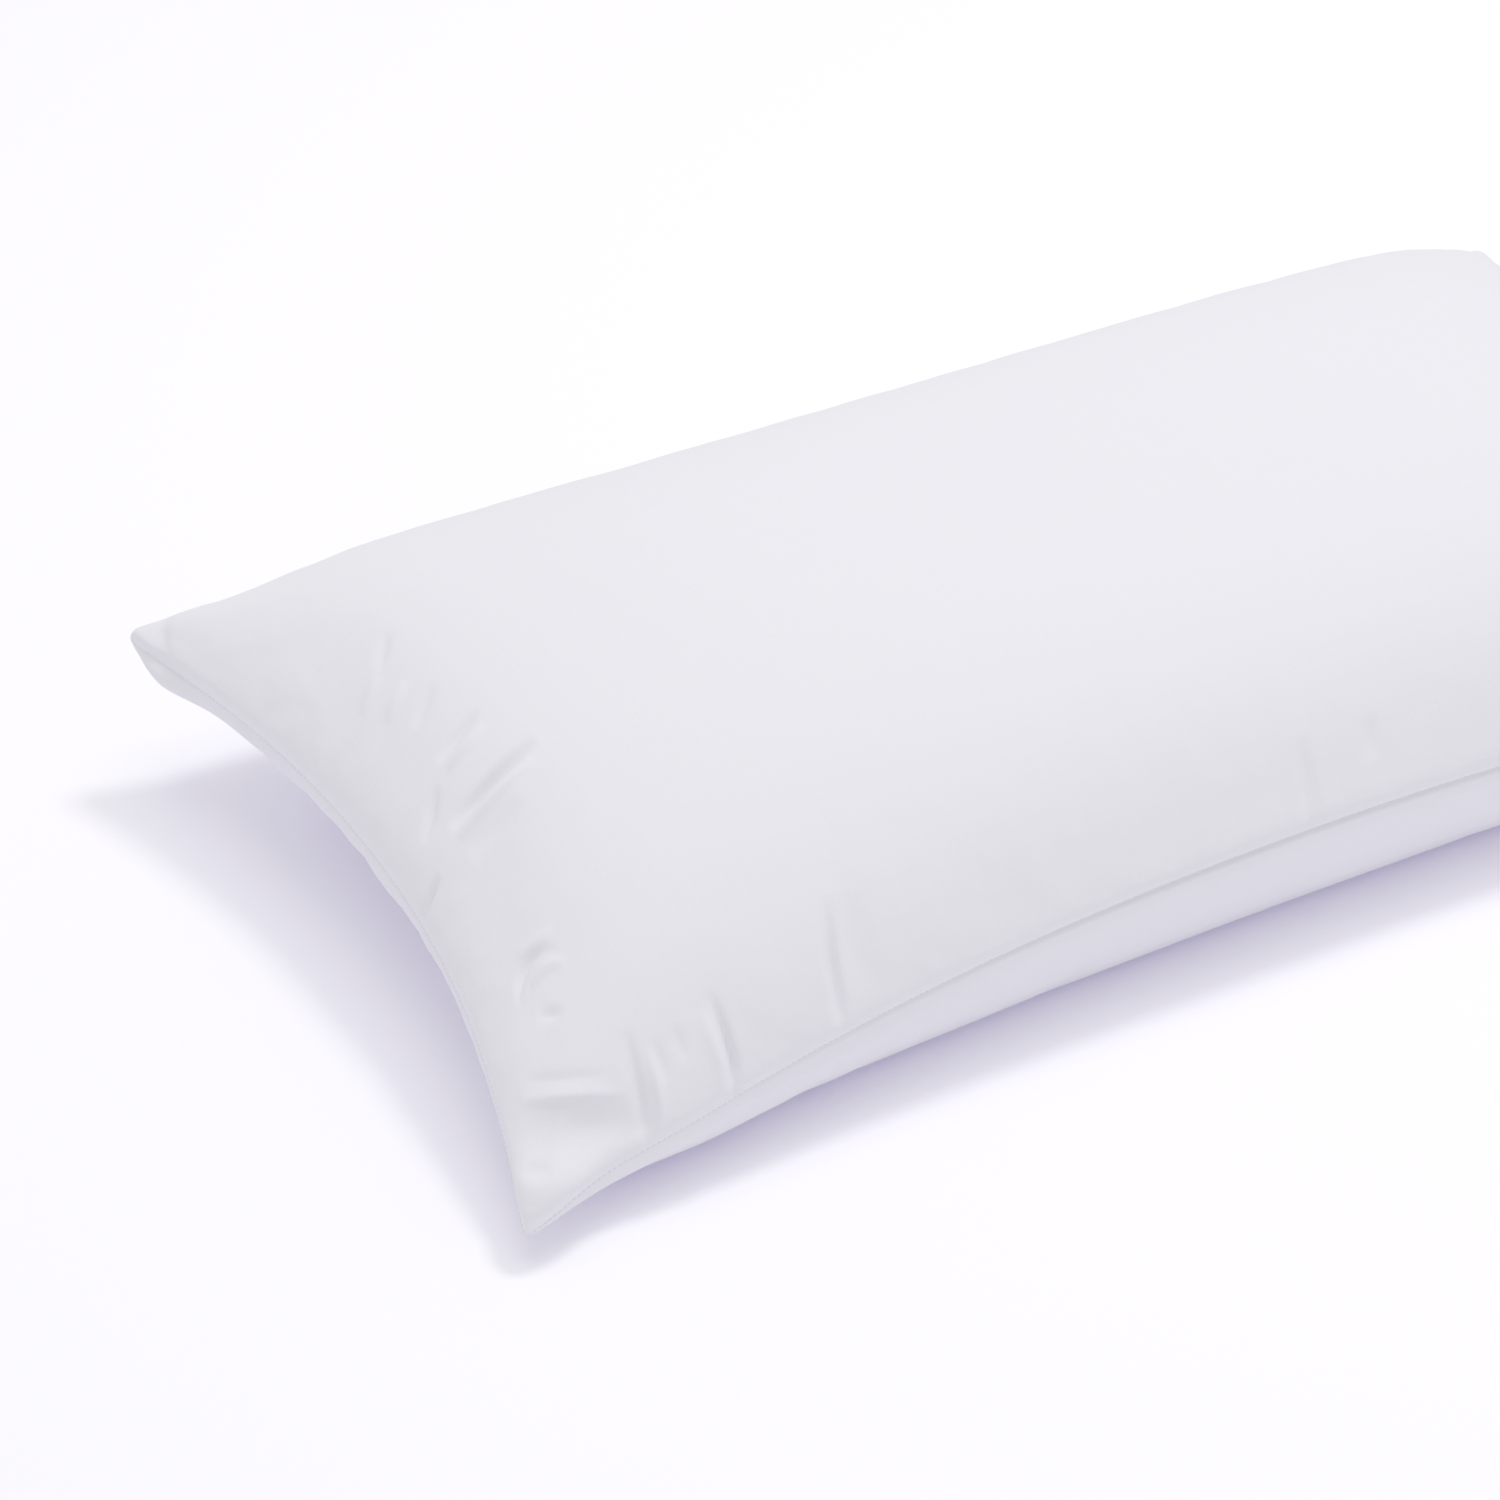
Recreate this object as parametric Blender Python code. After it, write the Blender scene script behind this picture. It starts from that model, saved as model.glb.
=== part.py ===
"""King pillow lying on its back: one sewn case of two flat panels, filled until it crowns.

The pillow is one closed solid. Its rim is the seam that joins the upper panel to the lower one.
The rim is drawn in between the four ears, the upper panel rises from it to a broad crown, and the
lower panel bulges below it and lies flat where it rests. X runs along the pillow, Y across it and
Z up, with the origin on the floor under the middle.
"""
import bmesh
import bpy
import numpy as np

# The rim, in metres: corner to corner of the outline, how far the middle of each side is drawn in,
# and how much each ear's tip is rounded off
CORNER_LENGTH = 0.897
CORNER_WIDTH = 0.466
END_DRAW = 0.040
SIDE_DRAW = 0.027
DRAW_POWER = {"end": 2.2, "side": 2.8}
EAR_ROUNDING = 0.0045
EAR_SHARPNESS = {"long": 50, "wide": 26}

# The neck where each ear leaves the filled body: how far the long sides are pinched in, in metres,
# and where that is and how far it spreads, as shares of the half length
NECK = {"depth": 0.0045, "place": 0.885, "spread": 0.078}

# The cloth of each panel, as it was cut
CUT_LENGTH = 0.914
CUT_WIDTH = 0.508

# Heights, in metres: the rim over the floor, the crown over the rim, the belly under the rim
RIM_HEIGHT = 0.0815
CROWN_RISE = 0.1005
BELLY_DROP = 0.1195
FLOOR_ROUNDING = 0.012

# How square each panel is, long way and wide way, and how steeply it leaves the rim at ends and sides
CROWN_SHAPE = {"long": 3.8, "wide": 2.6, "end_fall": 0.41, "side_fall": 0.465}
BELLY_SHAPE = {"long": 2.4, "wide": 2.85, "end_fall": 0.52, "side_fall": 0.49}

# The ears: which end, which side, and how high the tip stands. The near left one droops.
EARS = (
    {"end": -1, "side": -1, "tip_height": 0.018},
    {"end": -1, "side": 1, "tip_height": 0.092},
    {"end": 1, "side": -1, "tip_height": 0.045},
    {"end": 1, "side": 1, "tip_height": 0.070},
)
EAR_REACH = {"long": 3.8, "wide": 4.1}

# The far left ear's underside sags out past the rim: how far in metres, how full the panel is where
# it sags most, and where along the end that is and how far it spreads, as shares of the half width
EAR_SAG = {"out": 0.009, "fullness": 0.12, "place": 0.86, "spread": 0.09}

# Soft folds and swells of the upper panel, placed on the flat cloth: the start and the end of each,
# its width and how far it stands out, all in metres. A fold below 0 is a groove. Each one grows from
# nothing at the rim to its whole height where the panel is FOLD_FULLNESS full.
FOLD_FULLNESS = 0.25
FOLD_COLUMNS = ("start_x", "start_y", "end_x", "end_y", "width", "rise")
FOLDS = (
    # the crease across the left end, with the ridge beside it
    (-0.345, -0.024, -0.399, -0.026, 0.015, -0.0040),
    (-0.352, -0.042, -0.396, -0.043, 0.016, 0.0025),
    # the three puckers that run up from the near side's seam
    (-0.241, -0.194, -0.253, -0.238, 0.015, -0.0035),
    (-0.258, -0.196, -0.270, -0.238, 0.015, 0.0025),
    (-0.321, -0.206, -0.328, -0.240, 0.015, -0.0030),
    (-0.367, -0.208, -0.375, -0.240, 0.015, -0.0030),
    # the hollow above the near left ear
    (-0.416, -0.200, -0.378, -0.228, 0.020, -0.0045),
    # the pucker at the middle of the near side
    (0.028, -0.205, 0.023, -0.238, 0.016, -0.0025),
    # the far shoulder, which rises and falls along its length
    (-0.405, 0.214, -0.375, 0.218, 0.050, 0.0040),
    (-0.225, 0.155, -0.190, 0.160, 0.060, -0.0030),
    (-0.050, 0.178, 0.095, 0.176, 0.070, 0.0035),
)

# Rows of points, closer together at the folded left end and near side: degrees of a half turn
LONG_ROWS = ((0, 70, 40), (70, 180, 26))
WIDE_ROWS = ((0, 60, 17), (60, 180, 20))
SAME_POINT = 1e-6


def spaced_rows(stretches):
    """Numbers from -1 to 1: minus the cosine of angles that step evenly along each stretch."""
    angles = [np.linspace(start, stop, steps, endpoint=False) for start, stop, steps in stretches]
    return -np.cos(np.radians(np.append(np.concatenate(angles), stretches[-1][1])))


def rim_plan(u, v):
    """X and Y of a point: u and v times half the length and width, less what is drawn in there."""
    half_length = CORNER_LENGTH / 2 - END_DRAW * (1 - np.abs(v) ** DRAW_POWER["end"])
    half_width = CORNER_WIDTH / 2 - SIDE_DRAW * (1 - np.abs(u) ** DRAW_POWER["side"])
    half_width -= NECK["depth"] * np.exp(-((np.abs(u) - NECK["place"]) / NECK["spread"]) ** 2)
    rounding = EAR_ROUNDING * np.abs(u) ** EAR_SHARPNESS["long"] * np.abs(v) ** EAR_SHARPNESS["wide"]
    return u * half_length - np.sign(u) * rounding, v * half_width - np.sign(v) * rounding


def rim_height(u, v):
    """The rim's height, which each ear pulls up or down by its own share."""
    height = np.full_like(u, RIM_HEIGHT)
    for ear in EARS:
        long_share = ((1 + ear["end"] * u) / 2) ** EAR_REACH["long"]
        wide_share = ((1 + ear["side"] * v) / 2) ** EAR_REACH["wide"]
        height += (ear["tip_height"] - RIM_HEIGHT) * long_share * wide_share
    return height


def fullness(u, v, shape):
    """A dome that is 0 on the rim and 1 in the middle: a squared circle each way, multiplied."""
    along = (1 - np.abs(u) ** shape["long"]) ** shape["end_fall"]
    across = (1 - np.abs(v) ** shape["wide"]) ** shape["side_fall"]
    return along * across


def settled(height):
    """Heights with the floor under them: flat at 0, and rounded up into the sides."""
    rounded = (height + FLOOR_ROUNDING) ** 2 / (4 * FLOOR_ROUNDING)
    return np.where(height > FLOOR_ROUNDING, height, np.where(height < -FLOOR_ROUNDING, 0.0, rounded))


def cloth_places(points):
    """Where each point lies on the flat cloth, from the lengths of its row and its column."""
    places = []
    for axis, cut in ((0, CUT_LENGTH), (1, CUT_WIDTH)):
        steps = np.linalg.norm(np.diff(points, axis=axis), axis=2)
        run = np.cumsum(np.insert(steps, 0, 0.0, axis=axis), axis=axis)
        whole = np.take(run, [-1], axis=axis)
        places.append((run / whole - 0.5) * cut)
    return places


def outward(points):
    """Unit normals of the upper panel, from the directions of its rows and columns."""
    normal = np.cross(np.gradient(points, axis=0), np.gradient(points, axis=1))
    return normal / np.linalg.norm(normal, axis=2, keepdims=True)


def fold_rise(cloth_x, cloth_y):
    """How far the folds lift the cloth: each is a soft bell round its own straight line."""
    rise = np.zeros_like(cloth_x)
    for row in FOLDS:
        fold = dict(zip(FOLD_COLUMNS, row))
        run_x, run_y = fold["end_x"] - fold["start_x"], fold["end_y"] - fold["start_y"]
        along = (cloth_x - fold["start_x"]) * run_x + (cloth_y - fold["start_y"]) * run_y
        along = np.clip(along / (run_x ** 2 + run_y ** 2), 0, 1)
        away_x = cloth_x - fold["start_x"] - along * run_x
        away_y = cloth_y - fold["start_y"] - along * run_y
        rise += fold["rise"] * np.exp(-4 * (away_x ** 2 + away_y ** 2) / fold["width"] ** 2)
    return rise


def upper_panel(u, v):
    """The crowned panel, with its folds raised along its own normals and dying out at the rim."""
    x, y = rim_plan(u, v)
    dome = fullness(u, v, CROWN_SHAPE)
    points = np.stack([x, y, rim_height(u, v) + CROWN_RISE * dome], axis=2)
    lift = fold_rise(*cloth_places(points)) * np.minimum(1, dome / FOLD_FULLNESS)
    lift[[0, -1], :] = 0
    lift[:, [0, -1]] = 0
    return points + outward(points) * lift[..., None]


def lower_panel(u, v):
    """The belly, lying flat on the floor where it reaches it, with the ear that sags past the rim."""
    x, y = rim_plan(u, v)
    dome = fullness(u, v, BELLY_SHAPE)
    depth = dome / EAR_SAG["fullness"]
    spread = np.exp(-((v - EAR_SAG["place"]) / EAR_SAG["spread"]) ** 2)
    x -= np.where(u < 0, EAR_SAG["out"] * depth * np.exp(1 - depth) * spread, 0)
    return np.stack([x, y, settled(rim_height(u, v) - BELLY_DROP * dome)], axis=2)


def panel_triangles(u, v, faces_up):
    """Two triangles for each step of the grid, split along the line that runs towards the ears."""
    rows, columns = u.shape
    triangles = []
    for i in range(rows - 1):
        for j in range(columns - 1):
            a, b = i * columns + j, (i + 1) * columns + j
            c, d = b + 1, a + 1
            towards_ear = u[i, j] + u[i + 1, j] < 0
            same_side = (v[i, j] + v[i, j + 1] < 0) == towards_ear
            pair = ((a, b, c), (a, c, d)) if same_side else ((a, b, d), (b, c, d))
            triangles += pair if faces_up else [corners[::-1] for corners in pair]
    return triangles


def add_panel(mesh, points, triangles):
    """Put one panel's points and triangles into the mesh."""
    corners = [mesh.verts.new(point) for point in points.reshape(-1, 3).tolist()]
    for triangle in triangles:
        mesh.faces.new([corners[index] for index in triangle])


def cotton():
    """Plain white cotton with the photograph's cool cast."""
    material = bpy.data.materials.new("white_cotton")
    material.use_nodes = True
    shader = material.node_tree.nodes["Principled BSDF"]
    shader.inputs["Base Color"].default_value = (0.80, 0.79, 0.84, 1.0)
    shader.inputs["Roughness"].default_value = 0.85
    shader.inputs["Metallic"].default_value = 0.0
    return material


def make_pillow():
    """Sew the two panels together along the rim and make the object."""
    u, v = np.meshgrid(spaced_rows(LONG_ROWS), spaced_rows(WIDE_ROWS), indexing="ij")
    mesh = bmesh.new()
    add_panel(mesh, upper_panel(u, v), panel_triangles(u, v, faces_up=True))
    add_panel(mesh, lower_panel(u, v), panel_triangles(u, v, faces_up=False))
    bmesh.ops.remove_doubles(mesh, verts=mesh.verts, dist=SAME_POINT)
    data = bpy.data.meshes.new("pillow")
    mesh.to_mesh(data)
    mesh.free()
    data.shade_smooth()
    data.materials.append(cotton())
    pillow = bpy.data.objects.new("pillow", data)
    bpy.context.collection.objects.link(pillow)
    return pillow


for old in list(bpy.data.objects):
    bpy.data.objects.remove(old, do_unlink=True)
make_pillow()
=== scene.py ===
# %% [markdown]
# # A king pillow
# A king pillow is a bag of white cotton, sewn from two flat rectangles and blown full of soft
# fibre. Nothing on it is stiff: the filling makes the crown, the seam makes the edge, and the cloth
# that the seam can't use up makes the creases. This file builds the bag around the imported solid, in
# metres, with the same origin and axes: X along the pillow, Y across it and Z up.

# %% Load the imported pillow
import math

import bpy
import numpy as np
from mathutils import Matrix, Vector


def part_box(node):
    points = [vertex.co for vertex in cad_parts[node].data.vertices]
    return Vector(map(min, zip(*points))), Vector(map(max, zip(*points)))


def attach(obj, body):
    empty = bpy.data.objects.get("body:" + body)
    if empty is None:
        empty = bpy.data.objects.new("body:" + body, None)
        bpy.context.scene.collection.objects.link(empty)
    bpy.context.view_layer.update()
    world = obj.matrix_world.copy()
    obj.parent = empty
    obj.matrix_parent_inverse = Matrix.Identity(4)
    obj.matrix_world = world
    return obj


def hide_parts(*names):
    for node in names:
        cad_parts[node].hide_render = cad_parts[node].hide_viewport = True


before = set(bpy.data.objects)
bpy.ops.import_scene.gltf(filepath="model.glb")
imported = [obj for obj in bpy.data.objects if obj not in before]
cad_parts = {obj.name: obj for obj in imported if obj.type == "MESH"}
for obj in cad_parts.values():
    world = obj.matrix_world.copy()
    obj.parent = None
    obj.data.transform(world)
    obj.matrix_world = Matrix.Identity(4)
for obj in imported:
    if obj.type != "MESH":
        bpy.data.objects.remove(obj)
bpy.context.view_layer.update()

MM = 0.001
low_corner, high_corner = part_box("pillow")
LENGTH, WIDTH, HEIGHT = high_corner - low_corner
print(f"the packed pillow is {LENGTH / MM:.0f} x {WIDTH / MM:.0f} x {HEIGHT / MM:.0f} mm")

# %% [markdown]
# ## The camera
# The photograph looks down on the near left corner through a long lens, so the far end hardly
# shrinks. A camera can be placed by eye, but here it goes where the photographed outline, the side
# seam and the solid all agree. It is written as an angle round the pillow, an angle above the floor
# and a distance, because those are the numbers that a photographer would set. The lamps are hung by
# the same function later.

# %% Place the camera
# the aim and the distance are in metres, the angles in degrees
CAMERA = {
    "aim": Vector((-0.1769, 0.0271, 0.05)),
    "turned": -119.39,
    "raised": 35.86,
    "distance": 2.711,
}
LENS_MM = 122.08


def look_at(data, aim, turned, raised, distance):
    """An object that looks at a point from a distance, at angles from X and from the floor."""
    turned, raised = math.radians(turned), math.radians(raised)
    plan = Vector((math.cos(turned), math.sin(turned), 0))
    back = plan * math.cos(raised) + Vector((0, 0, math.sin(raised)))
    thing = bpy.data.objects.new(data.name, data)
    thing.location = aim + back * distance
    thing.rotation_euler = (-back).to_track_quat("-Z", "Y").to_euler()
    bpy.context.scene.collection.objects.link(thing)
    return thing


camera_data = bpy.data.cameras.new("camera")
camera_data.lens = LENS_MM
camera = look_at(camera_data, **CAMERA)
bpy.context.scene.camera = camera
print("the camera stands at", [round(value, 3) for value in camera.location])

# %% [markdown]
# ## The rim
# The seam runs right round the pillow and is its widest line. Filling pulls the middle of each side
# in, and leaves the corners behind as ears. Each panel is drawn on a square of two parameters, u
# along the pillow and v across it, both from -1 to 1, so the rim is where either one is 1 or -1. A
# formula is used instead of a traced outline, because every row of the cloth can then follow it.

# %% Draw the rim
EAR_ROUNDING = 4.5 * MM
EAR_SHARPNESS = {"long": 50, "wide": 26}
CORNER_LENGTH = LENGTH + 2 * EAR_ROUNDING
CORNER_WIDTH = WIDTH + 2 * EAR_ROUNDING
END_DRAW = 40 * MM
SIDE_DRAW = 27 * MM
DRAW_POWER = {"end": 2.2, "side": 2.8}
NECK = {"depth": 4.5 * MM, "place": 0.885, "spread": 0.078}


def rim_plan(u, v):
    """X and Y: u and v times half the size, drawn in by 1 less a power of the other parameter.

    A bell narrows the neck of each ear, and a product of two high powers rounds its tip.
    """
    half_length = CORNER_LENGTH / 2 - END_DRAW * (1 - np.abs(v) ** DRAW_POWER["end"])
    half_width = CORNER_WIDTH / 2 - SIDE_DRAW * (1 - np.abs(u) ** DRAW_POWER["side"])
    half_width -= NECK["depth"] * np.exp(-((np.abs(u) - NECK["place"]) / NECK["spread"]) ** 2)
    rounding = EAR_ROUNDING * np.abs(u) ** EAR_SHARPNESS["long"]
    rounding = rounding * np.abs(v) ** EAR_SHARPNESS["wide"]
    return u * half_length - np.sign(u) * rounding, v * half_width - np.sign(v) * rounding


end_middle = rim_plan(1, 0)[0]
side_middle = rim_plan(0, 1)[1]
print(f"the drawn-in middle is {2 * end_middle / MM:.0f} by {2 * side_middle / MM:.0f} mm")

# %% Raise and droop the ears
RIM_HEIGHT = 81.5 * MM
EAR_REACH = {"long": 3.8, "wide": 4.1}
EARS = (
    {"end": -1, "side": -1, "tip_height": 18 * MM},
    {"end": -1, "side": 1, "tip_height": 92 * MM},
    {"end": 1, "side": -1, "tip_height": 45 * MM},
    {"end": 1, "side": 1, "tip_height": 70 * MM},
)


def rim_height(u, v):
    """Z of the rim: one height all round, pulled towards each ear's tip by powers of u and v."""
    height = np.full(np.broadcast(u, v).shape, RIM_HEIGHT)
    for ear in EARS:
        long_share = ((1 + ear["end"] * u) / 2) ** EAR_REACH["long"]
        wide_share = ((1 + ear["side"] * v) / 2) ** EAR_REACH["wide"]
        height += (ear["tip_height"] - RIM_HEIGHT) * long_share * wide_share
    return height


tips = [float(rim_height(ear["end"], ear["side"])) for ear in EARS]
print("the tips of the ears stand", [round(tip / MM) for tip in tips], "mm above the floor")

# %% [markdown]
# ## The filled panels
# Filling pushes each panel out into a dome that is steep at the rim and broad on top. A dome could
# come from inflating a mesh, but then its height and its outline change together. A squared circle,
# 1 less a power, raised to about a half, gives both at once, and the two directions are multiplied.
# The lower panel has the same kind of dome hanging down, and the floor presses it flat.

# %% Fill the panels
CROWN_RISE = HEIGHT - RIM_HEIGHT
BELLY_DROP = 119.5 * MM
FLOOR_ROUNDING = 12 * MM
CROWN_SHAPE = {"long": 3.8, "wide": 2.6, "end_fall": 0.41, "side_fall": 0.465}
BELLY_SHAPE = {"long": 2.4, "wide": 2.85, "end_fall": 0.52, "side_fall": 0.49}
EAR_SAG = {"out": 9 * MM, "fullness": 0.12, "place": 0.86, "spread": 0.09}


def fullness(u, v, shape):
    """0 on the rim and 1 in the middle: (1 - |u|^a)^b times (1 - |v|^c)^d."""
    along = (1 - np.abs(u) ** shape["long"]) ** shape["end_fall"]
    across = (1 - np.abs(v) ** shape["wide"]) ** shape["side_fall"]
    return along * across


def settled(height):
    """The height with a floor under it: 0 below, a parabola round the edge, unchanged above."""
    rounded = (height + FLOOR_ROUNDING) ** 2 / (4 * FLOOR_ROUNDING)
    return np.where(height > FLOOR_ROUNDING, height, np.where(height < -FLOOR_ROUNDING, 0, rounded))


def upper_panel(u, v):
    """Points of the crown: the rim plus the dome."""
    x, y = rim_plan(u, v)
    return np.stack([x, y, rim_height(u, v) + CROWN_RISE * fullness(u, v, CROWN_SHAPE)], axis=2)


def lower_panel(u, v):
    """Points of the belly: the rim less the dome, settled on the floor.

    The far left ear sags out past the rim by d e^(1 - d), which is greatest at a depth d of 1.
    """
    x, y = rim_plan(u, v)
    dome = fullness(u, v, BELLY_SHAPE)
    depth = dome / EAR_SAG["fullness"]
    spread = np.exp(-((v - EAR_SAG["place"]) / EAR_SAG["spread"]) ** 2)
    x = x - np.where(u < 0, EAR_SAG["out"] * depth * np.exp(1 - depth) * spread, 0)
    return np.stack([x, y, settled(rim_height(u, v) - BELLY_DROP * dome)], axis=2)


flattened = BELLY_DROP - RIM_HEIGHT
print(f"the crown rises {CROWN_RISE / MM:.0f} mm above the rim")
print(f"without a floor the belly would hang {flattened / MM:.0f} mm lower")

# %% [markdown]
# ## Threads of the cloth
# Woven cloth hardly stretches, so what happens at a point depends on where that point was on the
# flat panel before it was sewn. The panel was cut 914 by 508 mm. Rows of the grid are spread along
# the cloth, not along u and v, so that no part of it is coarse by accident. A short table says how
# far apart they are: close at the seams and where the cloth is creased, wide where it is smooth.

# %% Lay out rows along the cloth
CUT = (914 * MM, 508 * MM)
TRACE_STEPS = 4000

# in millimetres from the middle of the cloth; between two places the step changes evenly
ROW_COLUMNS = ("place", "step")
ROWS_ALONG = (
    (-457, 0.6), (-445, 0.9), (-435, 1.4), (-230, 1.6), (-180, 3),
    (100, 3), (150, 5), (410, 5), (445, 0.9), (457, 0.6),
)
ROWS_ACROSS = (
    (-254, 0.6), (-242, 0.9), (-235, 1.4), (-120, 1.6), (110, 1.8),
    (150, 3.5), (225, 3), (242, 0.9), (254, 0.6),
)


def shares_by_step(rows):
    """Shares from 0 to 1 of a length: the running sum of 1 / step, cut into equal parts."""
    column = dict(zip(ROW_COLUMNS, np.array(rows).T))
    first, last = column["place"][[0, -1]]
    fine = np.linspace(first, last, TRACE_STEPS)
    density = 1 / np.interp(fine, column["place"], column["step"])
    count_so_far = np.insert(np.cumsum((density[1:] + density[:-1]) / 2 * np.diff(fine)), 0, 0)
    equal_parts = np.linspace(0, count_so_far[-1], round(count_so_far[-1]) + 1)
    return (np.interp(equal_parts, count_so_far, fine) - first) / (last - first)


def run_along(line):
    """How far each point of a line is from its first: the running sum of the steps."""
    return np.insert(np.cumsum(np.linalg.norm(np.diff(line, axis=0), axis=1)), 0, 0)


def cloth_rows(shares, axis):
    """Values of u (axis 0) or v (axis 1) at these shares of the crown's own length."""
    fine = -np.cos(np.linspace(0, np.pi, TRACE_STEPS))
    middle = np.zeros_like(fine)
    u, v = (fine, middle) if axis == 0 else (middle, fine)
    run = run_along(upper_panel(u[:, None], v[:, None])[:, 0])
    return np.interp(shares * run[-1], run, fine)


fine_shares = [shares_by_step(rows) for rows in (ROWS_ALONG, ROWS_ACROSS)]
fine_rows = [cloth_rows(shares, axis) for axis, shares in enumerate(fine_shares)]
u, v = np.meshgrid(*fine_rows, indexing="ij")
upper = upper_panel(u, v)
lower = lower_panel(u, v)
print("two panels of", fine_rows[0].size - 1, "by", fine_rows[1].size - 1, "faces")

# %% Find each point's place on the flat cloth


def run_lengths(points, axis):
    """How far each point is along its row (axis 0) or its column (axis 1)."""
    steps = np.linalg.norm(np.diff(points, axis=axis), axis=2)
    return np.cumsum(np.insert(steps, 0, 0, axis=axis), axis=axis)


def cloth_places(points):
    """Where each point was on the flat panel: its shares of its row and column, x the cut."""
    places = []
    for axis in (0, 1):
        run = run_lengths(points, axis)
        places.append((run / np.take(run, [-1], axis=axis) - 0.5) * CUT[axis])
    return np.stack(places, axis=2)


upper_places = cloth_places(upper)
lower_places = cloth_places(lower)
middle_row = np.abs(fine_rows[0]).argmin()
across_crown = run_lengths(upper, 1)[middle_row, -1]
print(f"the middle of the crown takes {across_crown / MM:.0f} mm of cloth from seam to seam")

# %% [markdown]
# ## A mesh of two panels
# The two panels share their rim points and nothing else, which is what a seam is. Building the
# faces from an array of point numbers keeps the grid's order, so later steps can still speak of the
# upper panel, the lower panel and the rim.

# %% Sew two grids into one closed mesh
SMALLEST_NORMAL = 1e-12


def grid_faces(numbers):
    """Four-sided faces of a grid of point numbers, anticlockwise seen from the +Z side."""
    corners = (numbers[:-1, :-1], numbers[1:, :-1], numbers[1:, 1:], numbers[:-1, 1:])
    return np.stack(corners, axis=-1).reshape(-1, 4)


def inside_rim(rows, columns):
    """True for each point of a grid that isn't on its rim."""
    inner = np.zeros((rows, columns), bool)
    inner[1:-1, 1:-1] = True
    return inner


def sewn_faces(rows, columns):
    """Faces of both panels, and the number that each point of the lower panel has."""
    upper_numbers = np.arange(rows * columns).reshape(rows, columns)
    inner = inside_rim(rows, columns)
    lower_numbers = upper_numbers.copy()
    lower_numbers[inner] = rows * columns + np.arange(inner.sum())
    faces = np.concatenate([grid_faces(upper_numbers), grid_faces(lower_numbers)[:, ::-1]])
    return faces, lower_numbers


def sewn_points(upper_points, lower_points):
    """Points of both panels, with the rim taken once."""
    inner = inside_rim(*upper_points.shape[:2])
    return np.concatenate([upper_points.reshape(-1, 3), lower_points[inner]])


def mesh_piece(name, points, faces):
    """A mesh object with its place in its points and its own place at the origin."""
    mesh = bpy.data.meshes.new(name)
    mesh.from_pydata(points, [], faces)
    mesh.shade_smooth()
    piece = bpy.data.objects.new(name, mesh)
    bpy.context.scene.collection.objects.link(piece)
    return piece


def outward(points):
    """Unit normals of a panel, on its +Z side: the cross product of its two directions."""
    normal = np.cross(np.gradient(points, axis=0), np.gradient(points, axis=1))
    return normal / np.maximum(np.linalg.norm(normal, axis=2, keepdims=True), SMALLEST_NORMAL)


print("two panels of 2 by 2 faces sewn together have", sewn_faces(3, 3)[1].max() + 1, "points")

# %% [markdown]
# ## Blow the cloth full
# A flat panel can't follow a dome, so where the seam gathers it the spare cloth buckles. Wrinkles
# could be painted as noise, but noise doesn't run to the seam and stop there. Here a cloth
# simulation makes them: each panel starts as wide as it was cut, the rim is drawn in to the sewn
# outline over some frames while air presses from inside, and the cloth buckles where it has to.

# %% Spread the panels to their cut size
CLOTH_CELLS = (150, 86)
FIRST_RIPPLE = 0.3 * MM
RIPPLE_SEED = 3
ON_FLOOR = 20 * MM


def cut_wide(points, crown):
    """Points times cut / length in each row and column of the crown that is shorter than its cut."""
    along = np.maximum(CUT[0] / run_lengths(crown, 0)[-1:, :], 1)
    across = np.maximum(CUT[1] / run_lengths(crown, 1)[:, -1:], 1)
    along, across = np.broadcast_arrays(along, across)
    return points * np.stack([along, across, np.ones_like(along)], axis=2)


even_shares = [np.linspace(0, 1, cells + 1) for cells in CLOTH_CELLS]
even_rows = [cloth_rows(shares, axis) for axis, shares in enumerate(even_shares)]
even_u, even_v = np.meshgrid(*even_rows, indexing="ij")
sewn_upper = upper_panel(even_u, even_v)
sewn_lower = lower_panel(even_u, even_v)
ripple = np.random.default_rng(RIPPLE_SEED).standard_normal((*even_u.shape, 1)) * FIRST_RIPPLE
loose_upper = cut_wide(sewn_upper, sewn_upper)
loose_lower = cut_wide(sewn_lower, sewn_upper)
off_floor = sewn_lower[..., 2:] > ON_FLOOR
loose_upper = loose_upper + outward(loose_upper) * ripple
loose_lower = loose_lower - outward(loose_lower) * ripple * off_floor
spread = [round(float(np.ptp(loose_upper[..., axis])) / MM) for axis in (0, 1)]
print("the loose upper panel is spread over", spread, "mm")

# %% Settings of the cloth
ALL_FRAMES = 24


def set_all(target, **values):
    """Set several properties of one thing, each by its name."""
    for name, value in values.items():
        setattr(target, name, value)


def cloth_settings(cloth):
    """Light cotton that hardly stretches, bends easily and has air inside."""
    set_all(cloth.settings, quality=5, mass=0.02, air_damping=1, bending_model="ANGULAR")
    set_all(cloth.settings, tension_stiffness=80, compression_stiffness=80, shear_stiffness=5)
    set_all(cloth.settings, tension_damping=5, compression_damping=5, shear_damping=5)
    set_all(cloth.settings, bending_stiffness=0.05, bending_damping=0.5)
    set_all(cloth.settings, use_pressure=True, uniform_pressure_force=1)
    set_all(cloth.settings, vertex_group_mass="hold", pin_stiffness=1)
    cloth.settings.effector_weights.gravity = 0
    set_all(cloth.point_cache, frame_start=1, frame_end=ALL_FRAMES)


print("the cloth has", ALL_FRAMES, "frames to gather, fill and settle")

# %% Gather and fill the panels
# the rim is pinned, and the cloth inside it is held to its sewn place by this small share
GATHER_FRAMES = 12
HOLD_INSIDE = 0.05


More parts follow.
